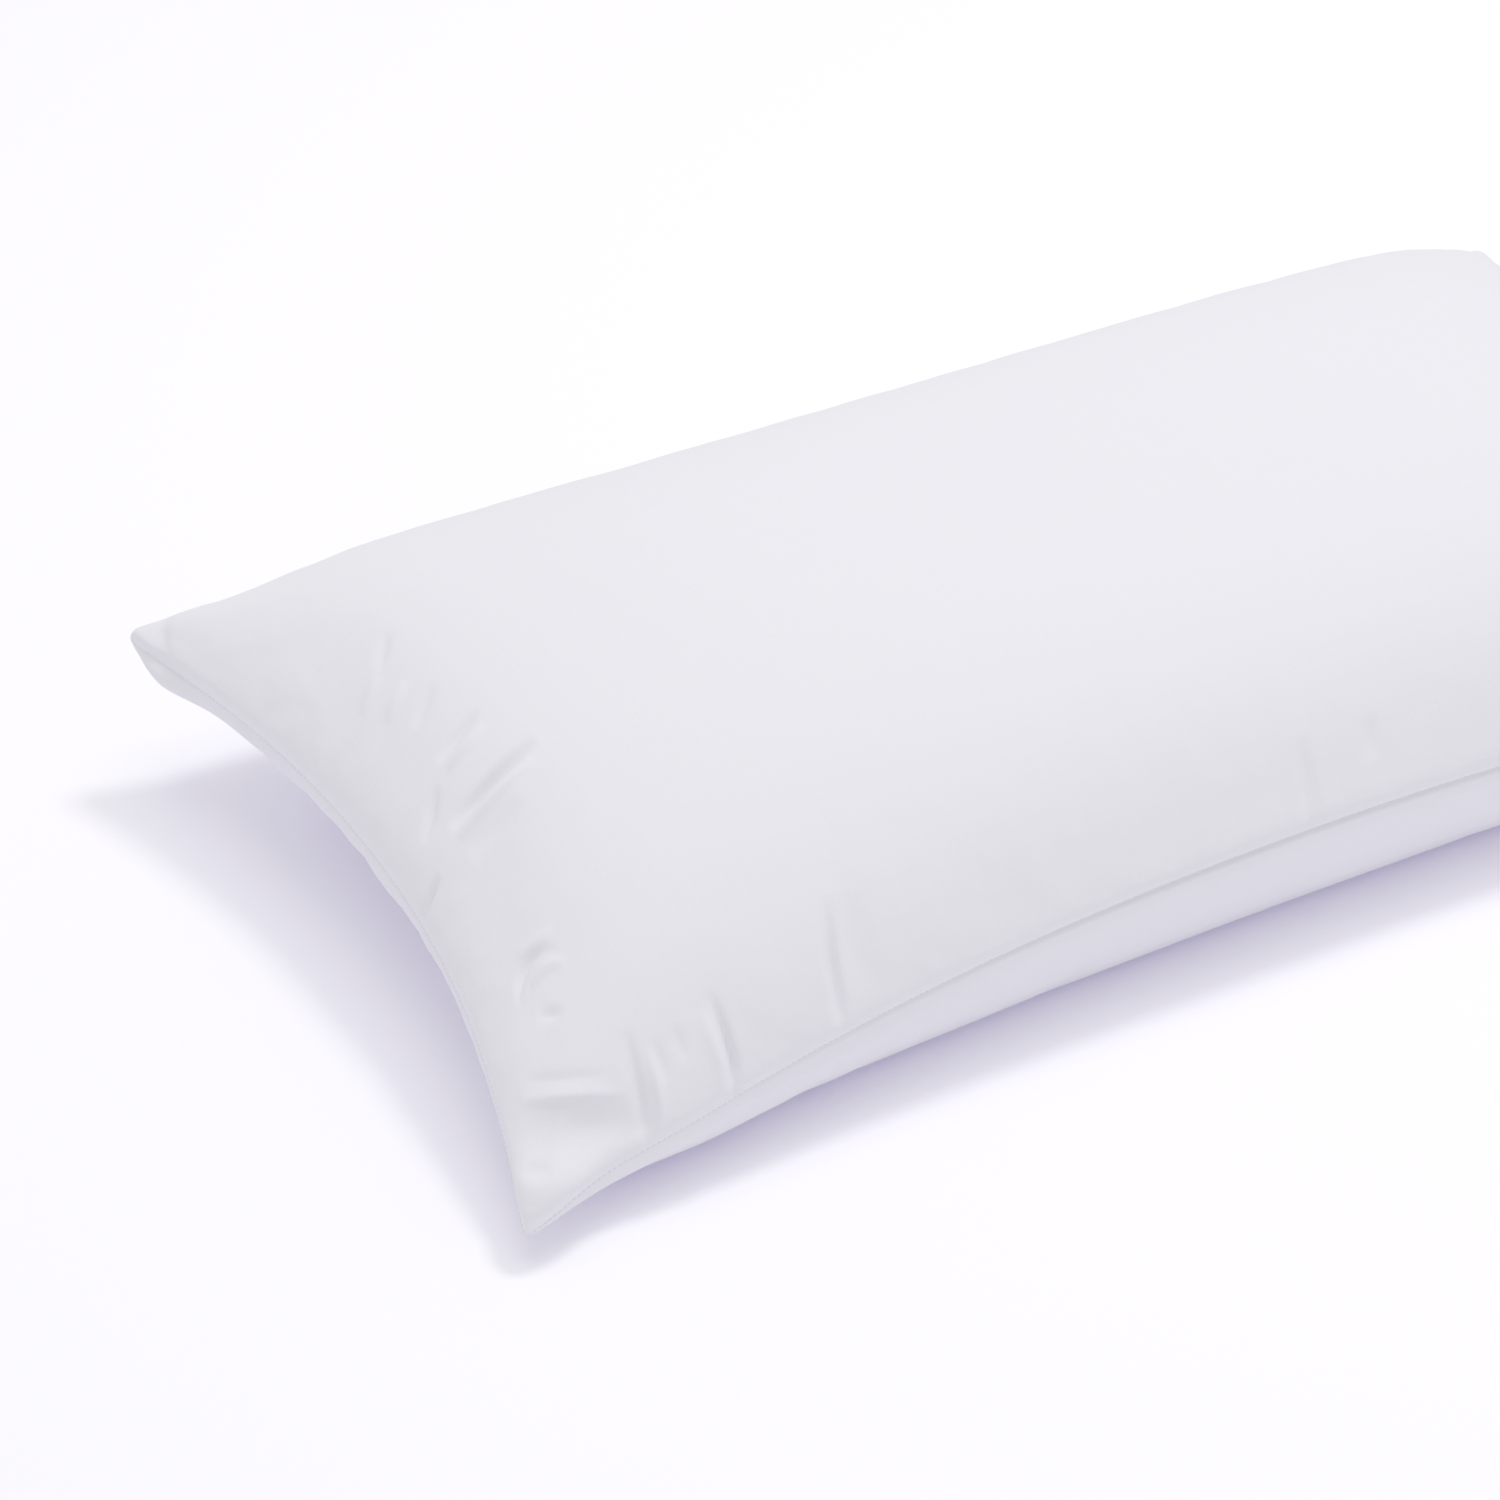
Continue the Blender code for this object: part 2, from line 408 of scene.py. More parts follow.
def blown_full(loose, sewn, faces, rim_points):
    """The points of the cloth once its rim has moved from the loose places to the sewn ones."""
    piece = mesh_piece("loose_cloth", loose, faces)
    piece.shape_key_add(name="cut")
    gathered = piece.shape_key_add(name="sewn")
    gathered.data.foreach_set("co", sewn.astype(np.float32).ravel())
    for frame_number, value in ((1, 0), (GATHER_FRAMES, 1)):
        gathered.value = value
        gathered.keyframe_insert("value", frame=frame_number)
    hold = piece.vertex_groups.new(name="hold")
    hold.add(list(range(len(sewn))), HOLD_INSIDE, "REPLACE")
    hold.add(rim_points, 1, "REPLACE")
    cloth_settings(piece.modifiers.new("cloth", "CLOTH"))
    for frame_number in range(1, ALL_FRAMES + 1):
        bpy.context.scene.frame_set(frame_number)
    result = piece.evaluated_get(bpy.context.evaluated_depsgraph_get()).data
    points = np.empty(len(sewn) * 3, np.float32)
    result.vertices.foreach_get("co", points)
    bpy.context.scene.frame_set(1)
    loose_mesh = piece.data
    bpy.data.objects.remove(piece, do_unlink=True)
    bpy.data.meshes.remove(loose_mesh)
    return points.reshape(-1, 3).astype(float)


cloth_faces, cloth_numbers = sewn_faces(*even_u.shape)
sewn = sewn_points(sewn_upper, sewn_lower)
rim_points = np.flatnonzero(~inside_rim(*even_u.shape).ravel()).tolist()
loose = sewn_points(loose_upper, loose_lower)
moved = blown_full(loose, sewn, cloth_faces, rim_points) - sewn
moved_upper = moved[:even_u.size].reshape(sewn_upper.shape)
moved_lower = moved[cloth_numbers]
print(f"the cloth moved by up to {np.linalg.norm(moved, axis=1).max() / MM:.0f} mm")

# %% [markdown]
# ## Keep the wrinkles, not the swelling
# The blown cloth is also fatter than the pillow in the photograph. Its move is split in two: a
# smooth part, which is the swelling and is dropped, and the rest, which is the wrinkles and is
# kept. The crown of a full pillow is almost smooth, so the wrinkles fade away from the seam.

# %% Smooth a grid and read it between its points
SWELL_CELLS = 6


def smoothing(count, cells):
    """A matrix that swaps each row for a bell-shaped average of its neighbours."""
    steps = np.arange(count)
    weights = np.exp(-((steps[:, None] - steps) / cells) ** 2 / 2)
    return weights / weights.sum(axis=1, keepdims=True)


def resampling(shares, count):
    """A matrix that reads an even grid at these shares, with a cubic bell over 4 neighbours."""
    away = np.abs(shares[:, None] * (count - 1) - np.arange(count))
    near = 2 / 3 - away ** 2 + away ** 3 / 2
    far = np.maximum(2 - away, 0) ** 3 / 6
    weights = np.where(away < 1, near, far)
    return weights / weights.sum(axis=1, keepdims=True)


def along_both(rows, grid, columns):
    """Multiply a grid of points by one matrix along its rows and another along its columns."""
    return np.einsum("ij,jkc,lk->ilc", rows, grid, columns, optimize=True)


bell = SWELL_CELLS * CUT[0] / CLOTH_CELLS[0]
print(f"the bell that finds the swelling is {bell / MM:.0f} mm wide on each side")

# %% Take the wrinkles to the fine grid
WRINKLE_SHARE = {"at seam": 0.30, "on crown": 0.07}
WRINKLE_REACH = 75 * MM
SEAM_REACH = 7 * MM


def seam_distance(places):
    """How far each place of the flat panel is from the nearest seam."""
    return np.minimum(CUT[0] / 2 - np.abs(places[..., 0]), CUT[1] / 2 - np.abs(places[..., 1]))


def wrinkles(move, places):
    """The move less its smooth part, read on the fine grid and faded by the seam distance."""
    smooth = [smoothing(count, SWELL_CELLS) for count in move.shape[:2]]
    sharp = move - along_both(smooth[0], move, smooth[1])
    read = [resampling(shares, count) for shares, count in zip(fine_shares, move.shape[:2])]
    fine = along_both(read[0], sharp, read[1])
    from_seam = seam_distance(places)[..., None]
    fade = np.exp(-(from_seam / WRINKLE_REACH) ** 2)
    share = WRINKLE_SHARE["on crown"] * (1 - fade) + WRINKLE_SHARE["at seam"] * fade
    return fine * share * (1 - np.exp(-(from_seam / SEAM_REACH) ** 2))


upper_wrinkles = wrinkles(moved_upper, upper_places)
lower_wrinkles = wrinkles(moved_lower, lower_places)
upper = upper + upper_wrinkles
lower = lower + lower_wrinkles
print(f"the wrinkles that are kept are up to {np.abs(upper_wrinkles).max() / MM:.1f} mm high")

# %% [markdown]
# ## The creases that show
# The photograph has its own creases, and each one is where the cloth had to give: across the left
# end, up from the near seam, and round the ears. They are written as a table in millimetres on the
# flat panel, with a rise (below 0 is a furrow) and a width on each side of the line, because a real
# crease has one steep flank and one slack flank.

# %% List the creases
CREASE_COLUMNS = (
    "start_x", "start_y", "end_x", "end_y", "bow", "rise", "left_width", "right_width",
)
CREASES = (
    # the broad slack inside the seams, at the ends and then along the near side
    (-401, -215, -401, 236, 0, -5.6, 36.0, 36.0),
    (404, 235, 404, -235, 0, -3.6, 36.0, 36.0),
    (-300, -218, 400, -218, 0, -3.6, 46.0, 36.0),
    # the long crease across the left end: a furrow, the ridge below it and the slack beyond
    (-340, -26, -404, -30, 0, -6.4, 4.2, 3.6),
    (-345, -36, -403, -40, 0, 3.0, 2.8, 5.0),
    (-362, -50, -404, -53, 0, -2.2, 6.0, 6.0),
    # short ones above it
    (-354, 13, -388, 7, 0, -3.0, 3.5, 3.0),
    (-356, 2, -386, -3, 0, 2.4, 3.0, 3.5),
    (-362, 47, -386, 35, 0, -1.7, 3.5, 4.0),
    (-372, 62, -396, 52, 0, 1.7, 3.0, 4.0),
    (-380, 79, -404, 70, 0, 1.7, 3.0, 4.0),
    (-361, 98, -380, 82, 0, -1.7, 3.0, 3.5),
    (-395, -3, -422, -22, 0, -2.2, 3.5, 3.5),
    # the one that runs into the end seam
    (-424, -44, -455, -53, 0, -3.6, 3.0, 3.0),
    # the bent furrow above the near left ear, with a ridge on each side of it
    (-379, -124, -405, -121, 0, 1.5, 3.0, 3.0),
    (-382, -132, -415, -143, -9, -3.0, 3.2, 3.2),
    (-379, -144, -405, -142, -5, 2.2, 2.8, 3.0),
    (-406, -156, -390, -166, 0, -1.8, 3.0, 3.0),
    # the wide furrow up from the near seam, and the slack on its right
    (-246, -184, -263, -250, 0, -4.2, 3.0, 3.6),
    (-232, -186, -248, -244, 0, -2.4, 9.0, 9.0),
    # the narrow bent furrow, with cloth standing up on its left
    (-319, -196, -330, -257, 4, -3.8, 2.4, 2.8),
    (-327, -202, -336, -250, 4, 1.8, 2.6, 3.6),
    # two dimples between it and the ear
    (-341, -202, -343, -222, 0, -1.3, 3.0, 3.0),
    (-353, -204, -356, -226, 0, -1.3, 3.0, 3.0),
    # the furrow and the ridge over the ear
    (-364, -192, -381, -252, 3, -3.2, 2.6, 3.6),
    (-357, -204, -373, -250, 3, 2.4, 2.6, 2.4),
    # where the near left ear leaves the body: a fine furrow, a thin ridge and the hollow below it
    (-428, -179, -378, -210, 0, -1.2, 2.4, 2.4),
    (-433, -187, -375, -222, 0, 2.2, 3.4, 2.8),
    (-449, -194, -362, -251, 0, -5.0, 13.0, 14.0),
    # the ear, which lies almost level, and the dimple in it
    (-456, -224, -404, -258, 0, 5.6, 13.0, 22.0),
    (-442, -224, -427, -231, 0, -1.8, 5.0, 5.0),
    # the far left ear's tip, folded flat
    (-455, 214, -428, 240, 0, -2.2, 8.0, 5.0),
    # the hollows of the right ears, which are fuller
    (440, -196, 352, -243, 0, -3.0, 20.0, 9.0),
    (452, 196, 400, 246, 0, -2.4, 8.0, 12.0),
    # the shallow pair at the middle of the near side
    (28, -201, 23, -258, 0, -2.8, 4.0, 4.0),
    (69, -202, 66, -228, 0, -1.8, 4.0, 4.0),
)
print(len(CREASES), "rows of creases")

# %% Lift the cloth along the creases


def crease_lift(places):
    """Sum over the creases of rise x half a sine along x a bell across, dying out near the seam.

    The bell's middle bows away from the straight line by a parabola. Left and right are those of
    somebody who walks from the start to the end.
    """
    lift = np.zeros(places.shape[:2])
    from_seam = seam_distance(places)
    for row in CREASES:
        crease = {name: value * MM for name, value in zip(CREASE_COLUMNS, row)}
        start = np.array([crease["start_x"], crease["start_y"]])
        run = np.array([crease["end_x"], crease["end_y"]]) - start
        length = np.linalg.norm(run)
        away = places - start
        along = np.clip(away @ run / length ** 2, 0, 1)
        left = (away[..., 1] * run[0] - away[..., 0] * run[1]) / length
        left = left - 4 * crease["bow"] * along * (1 - along)
        width = np.where(left > 0, crease["left_width"], crease["right_width"])
        narrow = min(crease["left_width"], crease["right_width"])
        at_seam = 1 - np.exp(-(2 * from_seam / narrow) ** 2)
        lift += crease["rise"] * np.sin(np.pi * along) * np.exp(-(left / width) ** 2) * at_seam
    return lift


creased = crease_lift(upper_places)
print(f"the creases lift the cloth by {creased.min() / MM:.1f} to {creased.max() / MM:.1f} mm")

# %% [markdown]
# ## The seam
# The case is sewn inside out and turned, so outside the seam is only a fine valley where the two
# panels meet. Filling pulls the valley deepest halfway along each side, and hardly at all at the
# ears. Inside lie the two raw edges, and the cloth over them stands up very slightly. A groove
# could be a bump in the material, but then the side view's outline would have no seam at all.

# %% Press in the seam
SEAM_DEPTH = {"end": 0.55 * MM, "side": 2.2 * MM}
SEAM_WIDTH = 1.4 * MM
EDGE_RISE = 0.2 * MM
EDGE_PLACE = 7 * MM
EDGE_WIDTH = 3.5 * MM


def seam_pull(places):
    """Moves inwards in plan: a bell round each seam, fading by (1 - share^2)^2 along it."""
    pull = np.zeros((*places.shape[:2], 3))
    for axis, depth in enumerate(SEAM_DEPTH.values()):
        from_seam = CUT[axis] / 2 - np.abs(places[..., axis])
        along_seam = places[..., 1 - axis] / (CUT[1 - axis] / 2)
        bell = np.exp(-(from_seam / SEAM_WIDTH) ** 2) * (1 - along_seam ** 2) ** 2
        pull[..., axis] = -np.sign(places[..., axis]) * depth * bell
    return pull


def dressed(points, places, lift):
    """A panel with its lift along its own normals, its raw edges and its seam pulled in."""
    from_seam = seam_distance(places)
    edge = EDGE_RISE * np.exp(-((from_seam - EDGE_PLACE) / EDGE_WIDTH) ** 2)
    lift = (lift + edge) * (1 - np.exp(-(from_seam / SEAM_WIDTH) ** 2))
    return points + outward(points) * lift[..., None] + seam_pull(places)


upper = dressed(upper, upper_places, creased)
lower = dressed(lower[:, ::-1], lower_places[:, ::-1], np.zeros(u.shape))[:, ::-1]
lower[..., 2] = np.maximum(lower[..., 2], 0)
inner = inside_rim(*u.shape)
lower[~inner] = upper[~inner]
case_faces = sewn_faces(*u.shape)[0]
pillow = mesh_piece("pillow_case", sewn_points(upper, lower), case_faces)
print("the case has", len(pillow.data.vertices), "points and", len(case_faces), "faces")

# %% Pin the flat cloth to the case
# the two panels lie side by side on the map, so that their yarns differ
LOWER_PANEL_SHIFT = 0.6


def lay_map(piece, name, corner_places):
    """Give each corner of each face its place on a flat map, in metres."""
    layer = piece.data.uv_layers.new(name=name)
    layer.uv.foreach_set("vector", corner_places.astype(np.float32).ravel())


panel_faces = grid_faces(np.arange(u.size).reshape(u.shape))
shifted_places = lower_places + [0, LOWER_PANEL_SHIFT]
upper_corners = upper_places.reshape(-1, 2)[panel_faces]
lower_corners = shifted_places.reshape(-1, 2)[panel_faces[:, ::-1]]
lay_map(pillow, "cloth", np.concatenate([upper_corners, lower_corners]))
to_seam = np.concatenate([seam_distance(upper_places).ravel(), seam_distance(lower_places)[inner]])
to_seam_layer = pillow.data.attributes.new("to_seam", "FLOAT", "POINT")
to_seam_layer.data.foreach_set("value", to_seam.astype(np.float32))
print(f"the furthest thread is {to_seam.max() / MM:.0f} mm from a seam")

# %% [markdown]
# ## The stitches
# Where filling pulls the two panels apart, a row of short stitches shows at the bottom of the seam,
# like the rungs of a zip. They could be a dashed line in the material, but from the side they catch
# the light, so each one is a tiny closed barrel. One barrel is worked out as a grid of rings and
# sides, and all of them are placed at once along the rim.

# %% Follow the rim


def rim_line(points):
    """The rim's points as one closed line, anticlockwise seen from above."""
    sides = (points[:-1, 0], points[-1, :-1], points[:0:-1, -1], points[0, :0:-1], points[:1, 0])
    return np.concatenate(sides)


def points_along(line, run, places):
    """Points of a closed line at these distances along it, read between its own points."""
    places = places % run[-1]
    return np.stack([np.interp(places, run, line[:, axis]) for axis in range(3)], axis=-1)


seam_line = rim_line(upper)
print(f"the seam is {run_along(seam_line)[-1]:.2f} m long")

# %% Shape the stitches
STITCH_PITCH = 3.2 * MM
STITCH_LENGTH = 2.6 * MM
THREAD_THICK = 0.45 * MM
STITCH_SIDES = 6
STITCH_PROUD = 0.25 * MM
STITCH_SUNK = 0.15 * MM

# each ring: its share of the stitch's length, and its share of the thread's thickness
STITCH_RINGS = ((0.0, 0.35), (0.12, 0.85), (0.5, 1.0), (0.88, 0.85), (1.0, 0.35))


def stitch_points(line):
    """Rings round a short piece of the line: middle + thickness x (cos x outwards + sin x up)."""
    run = run_along(line)
    count = round(run[-1] / STITCH_PITCH)
    starts = np.arange(count)[:, None] * run[-1] / count
    shares, thickness = np.array(STITCH_RINGS).T
    middles = points_along(line, run, starts + shares * STITCH_LENGTH)
    ahead = middles[:, -1:] - middles[:, :1]
    out = np.cross(ahead, (0, 0, 1))
    out = out / np.linalg.norm(out, axis=2, keepdims=True)
    up = np.cross(out, ahead)
    up = up / np.linalg.norm(up, axis=2, keepdims=True)
    proud = STITCH_PROUD * np.sin(np.pi * shares) - STITCH_SUNK
    middles = middles + out * proud[:, None]
    angle = 2 * np.pi * np.arange(STITCH_SIDES) / STITCH_SIDES
    round_it = np.cos(angle)[:, None] * out[:, :, None] + np.sin(angle)[:, None] * up[:, :, None]
    return middles[:, :, None] + round_it * (thickness * THREAD_THICK / 2)[:, None, None]


stitches = stitch_points(seam_line)
print(len(stitches), "stitches of", len(STITCH_RINGS), "rings each")

# %% Sew them on


def stitch_faces(count):
    """Four-sided faces between the rings of each stitch, and a cap on both of its ends."""
    rings = len(STITCH_RINGS)
    unrolled = grid_faces(np.arange(rings * (STITCH_SIDES + 1)).reshape(rings, STITCH_SIDES + 1))
    ring, side = np.divmod(unrolled, STITCH_SIDES + 1)
    sides = ring * STITCH_SIDES + side % STITCH_SIDES
    first_cap = np.arange(STITCH_SIDES)
    last_cap = first_cap[::-1] + (rings - 1) * STITCH_SIDES
    step = np.arange(count)[:, None, None] * rings * STITCH_SIDES
    caps = np.stack([first_cap, last_cap]) + step
    return (sides + step).reshape(-1, 4), caps.reshape(-1, STITCH_SIDES), (ring, side)


side_faces, cap_faces, (ring, side) = stitch_faces(len(stitches))
all_faces = side_faces.tolist() + cap_faces.tolist()
thread = mesh_piece("seam_thread", stitches.reshape(-1, 3), all_faces)
along_thread = np.array(STITCH_RINGS)[ring, 0] * STITCH_LENGTH
round_thread = side / STITCH_SIDES * np.pi * THREAD_THICK
one_stitch = np.stack([along_thread, round_thread], axis=2).reshape(1, -1, 2)
side_corners = np.repeat(one_stitch, len(stitches), axis=0).reshape(-1, 2)
lay_map(thread, "thread", np.concatenate([side_corners, np.zeros((cap_faces.size, 2))]))
print("each stitch has", len(ring) + 2, "faces")

# %% [markdown]
# ## Colours and nodes
# Colours are picked on a screen and written as the screen's own numbers, but a shader wants linear
# light, so one function turns them. A material is a chain of nodes; one helper adds a node with its
# settings and its links in one call, so that each material reads from its pattern to its shader.

# %% Helpers for materials


def linear(hex_colour):
    """The linear numbers of a colour picked on a screen: the sRGB curve, undone."""
    screen = np.array([int(hex_colour[first:first + 2], 16) / 255 for first in (1, 3, 5)])
    light = np.where(screen > 0.04045, ((screen + 0.055) / 1.055) ** 2.4, screen / 12.92)
    return (*light.tolist(), 1.0)


def feed(tree, node, inputs):
    """Fill a node's inputs, each with a number, a colour or another node's output."""
    for name, value in inputs.items():
        if isinstance(value, bpy.types.NodeSocket):
            tree.links.new(value, node.inputs[name])
        else:
            node.inputs[name].default_value = value


def add_node(tree, kind, inputs=None, **settings):
    """Add a node, make its settings and feed it."""
    node = tree.nodes.new(f"ShaderNode{kind}")
    set_all(node, **settings)
    feed(tree, node, inputs or {})
    return node


def new_material(name):
    """An empty material, with its node tree and the shader that it ends in."""
    material = bpy.data.materials.new(name)
    material.use_nodes = True
    return material, material.node_tree, material.node_tree.nodes["Principled BSDF"]


print("the screen's middle grey is", round(linear("#808080")[0], 3), "in linear light")

# %% [markdown]
# ## Woven cotton
# The case is bleached cotton in plain weave, the cloth of most bed linen. Each thread passes over
# one and under the next, so a crossing stands up or lies low like the squares of a chessboard:
# that is the product of two sines. A photograph of the cloth could be tiled instead, but it would
# repeat and would not follow the threads. Real threads are 0.25 mm apart, too fine to show here, so
# they are drawn six times as coarse.

# %% Weave the cotton
REAL_THREAD_PITCH = 0.25 * MM
DRAWN_COARSER = 6
THREAD_PITCH = REAL_THREAD_PITCH * DRAWN_COARSER
THREAD_HEIGHT = 0.014 * MM
SLUB_LENGTH = 45 * MM
SLUB_HEIGHT = 0.10 * MM
PUCKER_SIZE = 9 * MM
PUCKER_HEIGHT = 0.9 * MM
PUCKER_REACH = 22 * MM

# bleached cotton is a cool white that scatters nearly all light; its loose fibre ends give a soft
# sheen where the cloth is seen edge on, and thicker places in the yarn make it faintly uneven
cotton, tree, shader = new_material("bleached_woven_cotton")
place = add_node(tree, "UVMap", uv_map="cloth").outputs["UV"]
in_turns = {0: place, "Scale": 2 * math.pi / THREAD_PITCH}
turns = add_node(tree, "VectorMath", in_turns, operation="SCALE")
turn = add_node(tree, "SeparateXYZ", {0: turns.outputs[0]})
warp = add_node(tree, "Math", {0: turn.outputs["X"]}, operation="SINE")
weft = add_node(tree, "Math", {0: turn.outputs["Y"]}, operation="SINE")
crossing = add_node(tree, "Math", {0: warp.outputs[0], 1: weft.outputs[0]}, operation="MULTIPLY")
print(f"the threads are drawn {THREAD_PITCH / MM:.1f} mm apart, {DRAWN_COARSER} times too coarse")

# %% Make the yarn uneven
SLUBS = {
    "warp": (1 / SLUB_LENGTH, 1 / THREAD_PITCH, 1),
    "weft": (1 / THREAD_PITCH, 1 / SLUB_LENGTH, 1),
}
slubs = []
for yarn, scales in SLUBS.items():
    stretched = add_node(tree, "VectorMath", {0: place, 1: scales}, operation="MULTIPLY")
    stretched.label = yarn
    slub = add_node(tree, "TexNoise", {"Vector": stretched.outputs[0], "Scale": 1, "Detail": 2})
    slubs.append(slub.outputs["Fac"])
uneven = add_node(tree, "Math", {0: slubs[0], 1: slubs[1]}, operation="ADD")
half_uneven = add_node(tree, "Math", {0: uneven.outputs[0], 1: 0.5}, operation="MULTIPLY")
cotton_shades = {"Factor": half_uneven.outputs[0], "A": linear("#D8D7E0"), "B": linear("#DEDDE6")}
cotton_white = add_node(tree, "Mix", cotton_shades, data_type="RGBA")
print(f"thick places in the yarn are about {SLUB_LENGTH / MM:.0f} mm long")

# %% Pucker the cloth beside the seam
from_seam = add_node(tree, "Attribute", attribute_name="to_seam").outputs["Fac"]
pucker_noise = add_node(tree, "TexNoise", {"Vector": place, "Scale": 1 / PUCKER_SIZE, "Detail": 1})
reach = {"Value": from_seam, "From Max": PUCKER_REACH, "To Min": PUCKER_HEIGHT, "To Max": 0}
near_seam = add_node(tree, "MapRange", reach, interpolation_type="SMOOTHSTEP")
pucker_parts = {0: pucker_noise.outputs["Fac"], 1: near_seam.outputs[0]}
puckers = add_node(tree, "Math", pucker_parts, operation="MULTIPLY")
weave_parts = {0: crossing.outputs[0], 1: THREAD_HEIGHT, 2: puckers.outputs[0]}
weave = add_node(tree, "Math", weave_parts, operation="MULTIPLY_ADD")
relief_parts = {0: half_uneven.outputs[0], 1: SLUB_HEIGHT, 2: weave.outputs[0]}
relief = add_node(tree, "Math", relief_parts, operation="MULTIPLY_ADD")
cloth_bump = add_node(tree, "Bump", {"Height": relief.outputs[0], "Distance": 1, "Strength": 1})
feed(tree, shader, {
    "Base Color": cotton_white.outputs["Result"],
    "Roughness": 0.9,
    "Specular IOR Level": 0.3,
    "Sheen Weight": 0.15,
    "Sheen Roughness": 0.5,
    "Normal": cloth_bump.outputs["Normal"],
})
pillow.data.materials.append(cotton)
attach(pillow, "root")
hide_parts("pillow")
print(len(tree.nodes), "nodes make the cotton")

# %% [markdown]
# ## Sewing thread
# Seams are sewn with spun thread: two or three strands twisted together, a little shinier than the
# cloth. The twist shows as slanting ridges round the thread, so a sine runs along and round it, and
# the same sine paints shade into the grooves between the strands.

# %% Twist the thread
STRAND_PITCH = 0.6 * MM
STRAND_HEIGHT = 0.02 * MM

# spun and twisted thread: a white a shade greyer than the case, with a soft gloss
spun_thread, tree, shader = new_material("spun_sewing_thread")
thread_place = add_node(tree, "UVMap", uv_map="thread").outputs["UV"]
slant = add_node(tree, "VectorMath", {0: thread_place, 1: (1, 1, 0)}, operation="DOT_PRODUCT")
in_strands = {0: slant.outputs["Value"], 1: 2 * math.pi / STRAND_PITCH}
strand_turn = add_node(tree, "Math", in_strands, operation="MULTIPLY")
strand = add_node(tree, "Math", {0: strand_turn.outputs[0]}, operation="SINE").outputs[0]
strand_bump = add_node(tree, "Bump", {"Height": strand, "Distance": STRAND_HEIGHT, "Strength": 1})
# painted shade: the same sine makes the thread darker in the grooves between its strands
painted_groove_shade = add_node(tree, "MapRange", {"Value": strand, "From Min": -1, "From Max": 1})
thread_shades = {"Factor": painted_groove_shade.outputs[0], "A": linear("#C9C8D2"), "B": linear("#DCDBE4")}
thread_white = add_node(tree, "Mix", thread_shades, data_type="RGBA")
feed(tree, shader, {
    "Base Color": thread_white.outputs["Result"],
    "Roughness": 0.6,
    "Normal": strand_bump.outputs["Normal"],
})
thread.data.materials.append(spun_thread)
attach(thread, "root")
print(len(tree.nodes), "nodes make the thread")

# %% [markdown]
# ## The floor
# The photograph's floor is white paper that runs out of sight, and its shadow is faintly violet.
# The paper is given a weak violet glow of its own, a painted light, for it is no lamp: it gives back
# a little violet light everywhere, and only in a shadow is the rest weak enough to let it show. A
# plain white floor without the glow is a simpler choice, but its shadows come out grey. A very fine
# tooth in the paper keeps it from looking like plastic.

# %% Roll out the paper
FLOOR_HALF = 9.0
PAPER_GRAIN = 2 * MM
PAPER_TOOTH = 0.03 * MM
# a painted glow: the paper is no lamp, yet it gives off violet light that tints its shadows
PAINTED_VIOLET_GLOW = {"colour": "#8950FF", "strength": 0.07}
corners = [(-FLOOR_HALF, -FLOOR_HALF, 0), (FLOOR_HALF, -FLOOR_HALF, 0)]
corners += [(FLOOR_HALF, FLOOR_HALF, 0), (-FLOOR_HALF, FLOOR_HALF, 0)]
floor = mesh_piece("floor", corners, [(0, 1, 2, 3)])

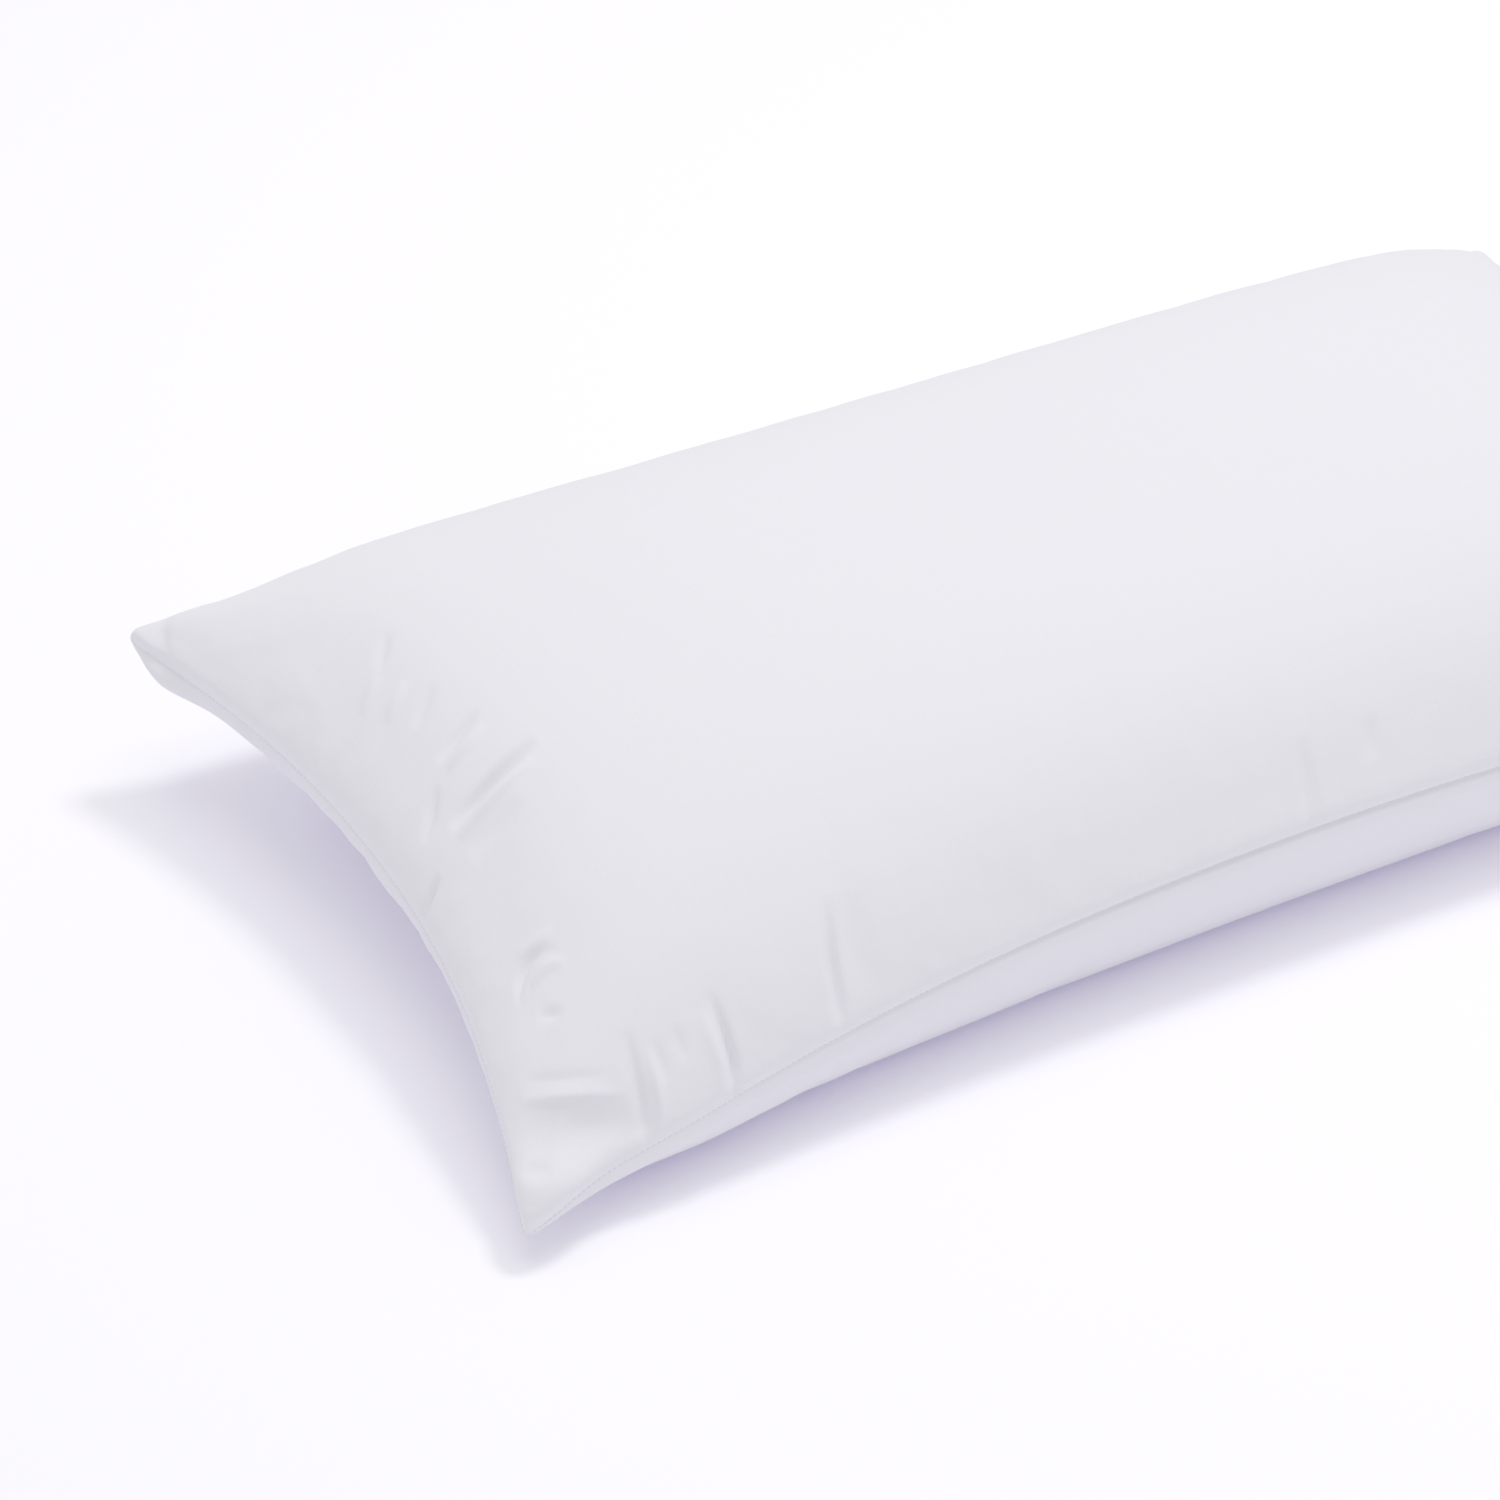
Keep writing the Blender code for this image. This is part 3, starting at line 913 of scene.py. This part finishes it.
# matt coated paper: white, without gloss, with a weak painted violet glow of its own
paper, tree, shader = new_material("white_backdrop_paper")
floor_place = add_node(tree, "TexCoord").outputs["Object"]
grain_inputs = {"Vector": floor_place, "Scale": 1 / PAPER_GRAIN, "Detail": 2}
grain = add_node(tree, "TexNoise", grain_inputs).outputs["Fac"]
paper_shades = {"Factor": grain, "A": linear("#F9F8F9"), "B": linear("#FBFAFB")}
paper_white = add_node(tree, "Mix", paper_shades, data_type="RGBA")
tooth = add_node(tree, "Bump", {"Height": grain, "Distance": PAPER_TOOTH, "Strength": 1})
feed(tree, shader, {
    "Base Color": paper_white.outputs["Result"],
    "Roughness": 1.0,
    "Specular IOR Level": 0.0,
    "Emission Color": linear(PAINTED_VIOLET_GLOW["colour"]),
    "Emission Strength": PAINTED_VIOLET_GLOW["strength"],
    "Normal": tooth.outputs["Normal"],
})
floor.data.materials.append(paper)
print("the paper is", 2 * FLOOR_HALF, "m square")

# %% [markdown]
# ## Light
# The shadow lies on the left of the pillow and is short and soft, and the near side and the left
# end are the darkest parts. So a lamp hangs high on the right, a little behind the pillow, a broad
# soft box straight above makes the shadow's outer part paler, and white light from all round fills
# the rest. One sun would be simpler, but its shadow is hard, so the lamps are wide discs.

# %% Light from all round
SURROUND_STRENGTH = 0.58

world = bpy.data.worlds.new("studio")
world.use_nodes = True
surround = world.node_tree.nodes["Background"]
surround.inputs["Strength"].default_value = SURROUND_STRENGTH
surround.inputs["Color"].default_value = linear("#FFFFFF")
bpy.context.scene.world = world
print("the white surround has a strength of", SURROUND_STRENGTH)

# %% Hang the lamps
# sizes and distances are in metres, powers in watts, angles in degrees
LAMP_COLUMNS = ("name", "size", "power", "turned", "raised", "distance")
LAMPS = (
    ("high_lamp", 0.7, 30, 14, 73, 3.2),
    ("soft_box", 3.0, 34, 0, 90, 4.0),
)
LAMP_AIM = Vector((0, 0, 0))

for row in LAMPS:
    lamp = dict(zip(LAMP_COLUMNS, row))
    lamp_data = bpy.data.lights.new(lamp["name"], "AREA")
    set_all(lamp_data, shape="DISK", size=lamp["size"], energy=lamp["power"])
    hung = look_at(lamp_data, LAMP_AIM, lamp["turned"], lamp["raised"], lamp["distance"])
    print("the", hung.name, "hangs", round(hung.location.z, 1), "m above the floor")

# %% [markdown]
# ## Tone
# A bright catalogue photograph lifts its middle tones, so that white cloth stays white even in its
# own shade. The plain view keeps colours as they are, and its gamma does the lifting.

# %% Set the tone
TONE_LIFT = 1.6
set_all(bpy.context.scene.view_settings, view_transform="Standard", gamma=TONE_LIFT)
print("the middle tones are lifted by a gamma of", TONE_LIFT)
